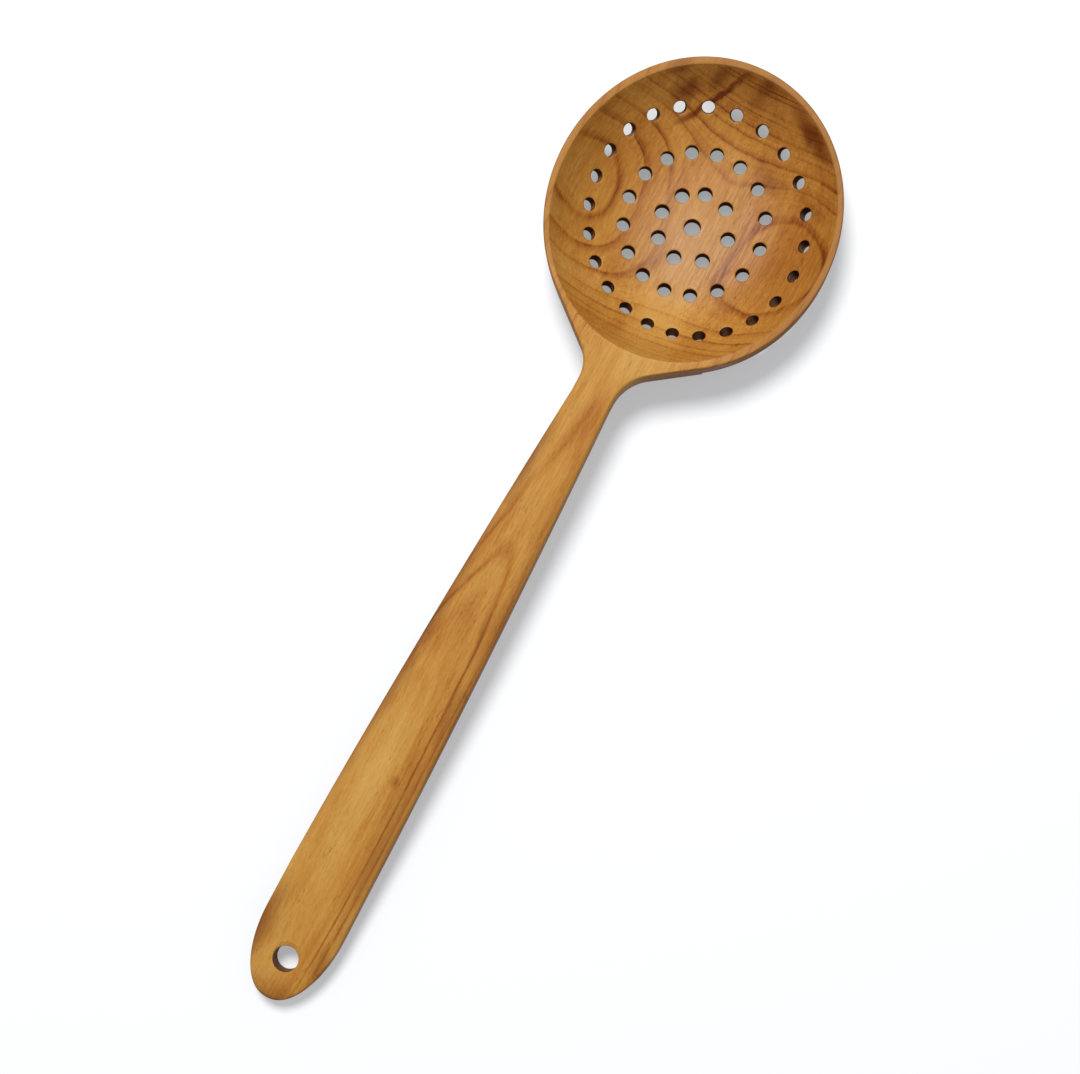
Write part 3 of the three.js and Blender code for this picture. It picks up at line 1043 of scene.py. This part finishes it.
def within_bowl(share, fade):
    """1 inside the bowl's outline, taken at a share of its size, and 0 outside it."""
    return within((0, bowl_y / mm), (half_width / mm * share, half_length / mm * share), fade)


# as shares of the bowl's outline: how far the drilled wall reaches, and where the land and the dark line begin
drilled_to, land_from, line_from = 0.95, 0.955, 0.975
rim_colour = as_seen(177, 126, 77)
rim_band = calc("SUBTRACT", 1.0, within_bowl(land_from, 0.01))
rim_band = calc("MULTIPLY", rim_band, remap(along, 74.0, 88.0))
colour = tinted(calc("MULTIPLY", rim_band, remap(lean, 0.0, 0.7, 0.5, 0.75)), colour, rim_colour)
print("the rim's land has its own colour")

# %% Darker end grain, painted shade on the sides and in the bores
end_grain_tint = (0.56, 0.36, 0.22, 1)
upright_shade_tint = (0.52, 0.42, 0.34, 1)
edge_tint = (0.44, 0.30, 0.20, 1)
bore_grain_and_shade_tint = (0.36, 0.24, 0.12, 1)

facing = nodes.new("ShaderNodeSeparateXYZ")
feed(facing.inputs[0], coordinates.outputs["Normal"])
end_grain = remap(calc("ABSOLUTE", facing.outputs["Y"]), 0.35, 1.0)
colour = shaded(calc("MULTIPLY", end_grain, 0.5), colour, end_grain_tint)

levelness = calc("ABSOLUTE", facing.outputs["Z"])
upright = remap(levelness, 0.2, 0.62, 1.0, 0.0)
# painted shade: upright faces darker because they turn away from the light above
upright_shade_share = calc("MULTIPLY", upright, remap(along, 56.0, 76.0, 0.1, 0.35))
colour = shaded(upright_shade_share, colour, upright_shade_tint)

outside = calc("SUBTRACT", 1.0, within_bowl(line_from, 0.015))
edge_line = calc("MULTIPLY", remap(levelness, 0.76, 0.96, 1.0, 0.0), outside)
edge_line = calc("MULTIPLY", edge_line, remap(along, 56.0, 76.0, 0.05, 0.3))
colour = shaded(edge_line, colour, edge_tint)

round_hang_hole = within((hang_place.x / mm, hang_place.y / mm), (6.0, 6.0), 0.1)
near_drilling = strongest([within_bowl(drilled_to, 0.03), calc("MULTIPLY", round_hang_hole, 0.6)])
# end grain and painted shade in the drilled holes
drilled = calc("MULTIPLY", upright, near_drilling)
colour = shaded(drilled, colour, bore_grain_and_shade_tint)
links.new(colour, shader.inputs["Base Color"])
print("upright and drilled faces darkened")

# %% [markdown]
# ## Gloss and relief
# Oiled wood is satin: pale, dense fibres shine a little more than dark, open ones. The bowl has been rubbed
# smoother than the handle, and the rim's land and the drilled walls are dull. Fibres stand up and pores lie
# deep by a few hundredths of a millimetre, which a bump shows best, and a slow wave is what the tools left.

# %% Gloss and relief
satin = remap(fibres, 0.2, 0.8, 0.54, 0.66, smooth=False)
polish = calc("SUBTRACT", satin, calc("MULTIPLY", in_bowl, 0.15))
polish = calc("MAXIMUM", polish, calc("MULTIPLY", rim_band, 0.72))
polish = calc("MAXIMUM", polish, drilled)
links.new(polish, shader.inputs["Roughness"])
shader.inputs["Specular IOR Level"].default_value = 0.13
shader.inputs["IOR"].default_value = 1.46
relief = calc("SUBTRACT", calc("MULTIPLY", fibres, 0.5), calc("MULTIPLY", pores, 0.6))
relief = calc("MULTIPLY_ADD", noise(spot, (20, 50, 20), centre=(9, 9, 1)), 3.0, relief)
bump = nodes.new("ShaderNodeBump")
bump.inputs["Strength"].default_value = 0.35
bump.inputs["Distance"].default_value = 0.08 * mm
feed(bump.inputs["Height"], relief)
links.new(bump.outputs["Normal"], shader.inputs["Normal"])
ladle.data.materials.clear()
ladle.data.materials.append(wood)
print(f"wood made of {len(nodes)} nodes")

# %% [markdown]
# ## The studio
# The ladle lies on a white table, as on a light table that is dimly lit from below: its own glow keeps the
# shadows pale and even. Where the bowl rests, a painted shadow darkens the table, with one painted patch of light
# on the left, so the drain holes show an even grey and a few of them white. A standard view keeps the white table
# white.

# %% Table
let_go()
bpy.ops.mesh.primitive_plane_add(size=6, location=(0, 0, 0))
table = bpy.context.object
table.name = table.data.name = "table"
white = bpy.data.materials.new("light_table")
white.use_nodes = True
table_shader = white.node_tree.nodes["Principled BSDF"]
table_shader.inputs["Roughness"].default_value = 0.9
table_shader.inputs["Specular IOR Level"].default_value = 0.0
table_shader.inputs["Emission Strength"].default_value = 1.0
# painted shadow where the bowl rests, and a painted patch of light on its left
painted_shadow_share = 0.86
table_glow, painted_shadow_glow, painted_light_glow = (0.353, 0.36, 0.371, 1), (0.335, 0.34, 0.34, 1), (0.66, 0.68, 0.68, 1)
table_colour, painted_shadow_colour = (0.36, 0.365, 0.375, 1), (0.03, 0.03, 0.03, 1)

# from here on the helpers add their nodes to the table's material
nodes, links = white.node_tree.nodes, white.node_tree.links
spot = mapped(nodes.new("ShaderNodeTexCoord").outputs["Object"], size=(mm, mm, mm))
painted_shadow_under_bowl = within_bowl(painted_shadow_share, 0.2)
out_of_patch = out_from(spot, (-26, 149), (10, 27), 44, endless)
# painted light: a brighter glow under the bowl's far left side
painted_light_patch = remap(out_of_patch, 0.55, 1.0, 1.0, 0.0)
glow = tinted(painted_light_patch, tinted(painted_shadow_under_bowl, table_glow, painted_shadow_glow), painted_light_glow)
links.new(glow, table_shader.inputs["Emission Color"])
links.new(tinted(painted_shadow_under_bowl, table_colour, painted_shadow_colour), table_shader.inputs["Base Color"])
table.data.materials.append(white)
# the mat is the painted shadow under the bowl
print(f"the table glows, and has a mat {painted_shadow_share * bowl_width / mm:.0f} mm wide under the bowl")

# %% Sky
sky = bpy.data.worlds.new("studio_sky")
sky.use_nodes = True
background = sky.node_tree.nodes["Background"]
background.inputs["Color"].default_value = (0.97, 0.985, 1.0, 1)
background.inputs["Strength"].default_value = 0.5
bpy.context.scene.world = sky
bpy.context.scene.view_settings.view_transform = "Standard"
print("the sky lights from all round")

# %% [markdown]
# ## The camera
# The viewer looks almost straight down, with the handle pointing to the lower left. A turn, a pitch and a roll
# say that in three angles, and the camera's own directions follow. A long lens keeps the perspective weak.

# %% Camera
def camera_axes(azimuth, pitch, roll):
    """Right, up and forward of a camera that looks down by pitch, turned by azimuth and rolled."""
    a, e, r = radians(azimuth), radians(pitch), radians(roll)
    forward = Vector((-sin(a) * cos(e), cos(a) * cos(e), -sin(e)))
    level_right = Vector((cos(a), sin(a), 0))
    level_up = level_right.cross(forward)
    right = level_right * cos(r) + level_up * sin(r)
    return right, right.cross(forward), forward


camera_azimuth, camera_pitch, camera_roll = 57.62, 84.4, -29.37
camera_target = Vector((5.45, 2.62, 10)) * mm
camera_distance = 671.6 * mm
camera_right, camera_up, camera_forward = camera_axes(camera_azimuth, camera_pitch, camera_roll)
lens = bpy.data.cameras.new("camera")
lens.sensor_width = 36
lens.lens = 66.8
camera = bpy.data.objects.new("camera", lens)
bpy.context.scene.collection.objects.link(camera)
camera.rotation_mode = "QUATERNION"
camera.rotation_quaternion = Matrix((camera_right, camera_up, -camera_forward)).transposed().to_quaternion()
camera.location = camera_target - camera_forward * camera_distance
bpy.context.scene.camera = camera
print(f"camera {camera.location.z:.2f} m above the table")

# %% [markdown]
# ## The lamp
# One round area lamp is the only light besides the sky and the table's glow. It stands high above the picture's
# upper edge, a little to the left, so the shadow falls down and to the right. Its width makes the edge soft.

# %% Soft key light
key_height, key_left = radians(65), radians(13)
key_distance = 2.0
towards_key = (camera_up * cos(key_left) - camera_right * sin(key_left)) * cos(key_height)
towards_key += Vector((0, 0, 1)) * sin(key_height)

key = bpy.data.lights.new("key", "AREA")
key.shape = "DISK"
key.size = 0.68
key.energy = 63.0
key.color = (1.0, 0.992, 0.98)
lamp = bpy.data.objects.new("key", key)
bpy.context.scene.collection.objects.link(lamp)
lamp.rotation_mode = "QUATERNION"
lamp.rotation_quaternion = towards_key.to_track_quat("Z", "Y")
lamp.location = camera_target + towards_key.normalized() * key_distance
print(f"lamp of {key.energy:.0f} W, {lamp.location.z:.2f} m above the table")
